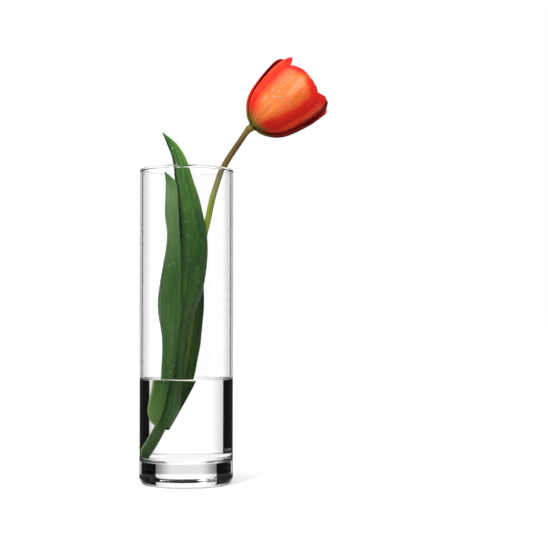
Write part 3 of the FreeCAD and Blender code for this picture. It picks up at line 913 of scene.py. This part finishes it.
def make_world():
    """White to the camera. Rays through glass see the studio, its own reflections a dark room, diffuse rays
    and rays that have left a leaf or petal the soft light."""
    world = bpy.data.worlds.new("studio")
    scene.world = world
    m = WorldNodes(world)
    direction = m.add("ShaderNodeTexCoord").outputs["Generated"]
    path = m.add("ShaderNodeLightPath")
    through = studio_seen_through_glass(m, direction)
    aim = m.add("ShaderNodeVectorMath", {0: direction, 1: SOFT_FROM}, operation="DOT_PRODUCT").outputs["Value"]
    levels = [(0.0, 0.30), (0.35, 0.62), (0.75, 1.02), (1.0, 1.8)]
    aim = m.math("ADD", m.math("MULTIPLY", aim, 0.5), 0.5)
    soft = m.ramp(aim, [(place, (level,) * 3) for place, level in levels], "LINEAR")
    colour = m.mix(path.outputs["Is Glossy Ray"], soft, DARK_ROOM)
    colour = m.mix(path.outputs["Is Transmission Ray"], colour, through)
    colour = m.mix(m.math("GREATER_THAN", path.outputs["Diffuse Depth"], 0.5), colour, soft)
    colour = m.mix(path.outputs["Is Camera Ray"], colour, (1.0, 1.0, 1.0))
    m.tree.links.new(colour, m.tree.nodes["Background"].inputs[0])


def make_floor():
    """Wide pale paper floor for the camera. Diffuse, glossy and transmission rays see the world in its place."""
    side = FLOOR_REACH
    points = [(-side, -side, 0), (side, -side, 0), (side, side, 0), (-side, side, 0)]
    m = Nodes("floor_paper", Roughness=0.8, Specular_IOR_Level=0.1)
    grain = m.place_noise(9.0, 2.0)
    m.link(m.ramp(grain, [(0.3, (0.955, 0.955, 0.955)), (0.7, (0.975, 0.975, 0.975))]), "Base Color")
    floor = mesh_object("studio_floor", points, [(0, 1, 2, 3)], None, [m.material])
    floor.visible_transmission = False
    floor.visible_glossy = False
    floor.visible_diffuse = False
    floor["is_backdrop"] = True


def make_light(name, place, aim, size, power, in_reflections=True):
    """A soft rectangle of light, seen or not seen in the glass."""
    data = bpy.data.lights.new(name, "AREA")
    data.shape = "RECTANGLE"
    data.size, data.size_y = size
    data.energy = power
    light = bpy.data.objects.new(name, data)
    scene.collection.objects.link(light)
    light.location = place
    light.visible_glossy = light.visible_transmission = in_reflections
    light.rotation_euler = (Vector(aim) - Vector(place)).to_track_quat("-Z", "Y").to_euler()


# --- the scene ------------------------------------------------------------------------


make_camera()
make_world()
make_floor()
make_light("key_softbox", (-0.7, -0.9, 1.5), (0.05, 0.0, 0.25), (0.6, 0.6), 13.0)
make_light("sparkle", (-0.35, -0.75, 1.25), (0.05, 0.0, 0.3), (0.07, 0.07), 2.5)
make_light("right_fill", (1.0, -1.1, 0.15), (0.1, 0.0, 0.37), (0.5, 0.5), 6.0, False)
scene.view_settings.view_transform = "Standard"
make_vase()
make_water()
make_stem()
green = leaf_material(
    "leaf_green", (0.13, 0.29, 0.045), (0.045, 0.15, 0.022), (0.010, 0.045, 0.007),
    left_shade=0.9, right_light=0.2,
)
pale = leaf_material(
    "leaf_bloomed", (0.12, 0.27, 0.05), (0.05, 0.155, 0.03), (0.014, 0.06, 0.012),
    bloom=0.65, right_light=0.1, foot_light=0.4, depth=0.15,
)
shaded = leaf_material("leaf_shaded", (0.12, 0.27, 0.04), (0.06, 0.16, 0.025), (0.018, 0.065, 0.01))
tall = make_leaf("tall_leaf", "leaf_tall", LEAF_TALL, green, 0.8 * MM, 3.1)
small = make_leaf("small_leaf", "leaf_small", LEAF_SMALL, pale, 0.8 * MM, 5.7)
make_leaf("back_leaf", "leaf_back", LEAF_BACK, shaded, 0.6 * MM, 8.2)
petals = make_petals()
drop = bead_material()
beads = [(0.52, -0.26, 1.1 * MM), (0.57, -0.10, 0.9 * MM), (0.60, -0.30, 1.0 * MM), (0.58, 0.06, 1.0 * MM)]
beads += scatter(4, 22, (0.28, 0.86), (-0.6, 0.5), 0.4 * MM, 0.9 * MM)
make_droplets("petal_beads", "outer_petal_1", on_blade(petals["outer_petal_1"]), beads, drop)
beads = scatter(9, 30, (0.60, 0.90), (-0.7, 0.8), 0.4 * MM, 1.1 * MM)
beads += scatter(12, 18, (0.2, 0.6), (-0.8, 0.8), 0.35 * MM, 0.8 * MM)
make_droplets("small_leaf_beads", "tulip", on_blade(small), beads, drop)
beads = scatter(15, 46, (0.35, 0.95), (-0.6, 0.7), 0.35 * MM, 0.75 * MM)
make_droplets("tall_leaf_beads", "tulip", on_blade(tall), beads, drop)
powder = speckled_material("stamen_dark", (0.012, 0.006, 0.012), (0.035, 0.015, 0.03), 900)
velvet = speckled_material("pistil_green", (0.16, 0.26, 0.05), (0.27, 0.36, 0.09), 600, 0.55)
cream = speckled_material("stigma_cream", (0.62, 0.52, 0.20), (0.78, 0.70, 0.36), 1200)
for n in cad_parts:
    for word, item in (("filament", powder), ("anther", powder), ("ovary", velvet), ("stigma", cream)):
        if n.startswith(word):
            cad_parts[n].data.materials.clear()
            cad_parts[n].data.materials.append(item)

boxes = [[list(corner) for corner in box] for box in (cad_box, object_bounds())]
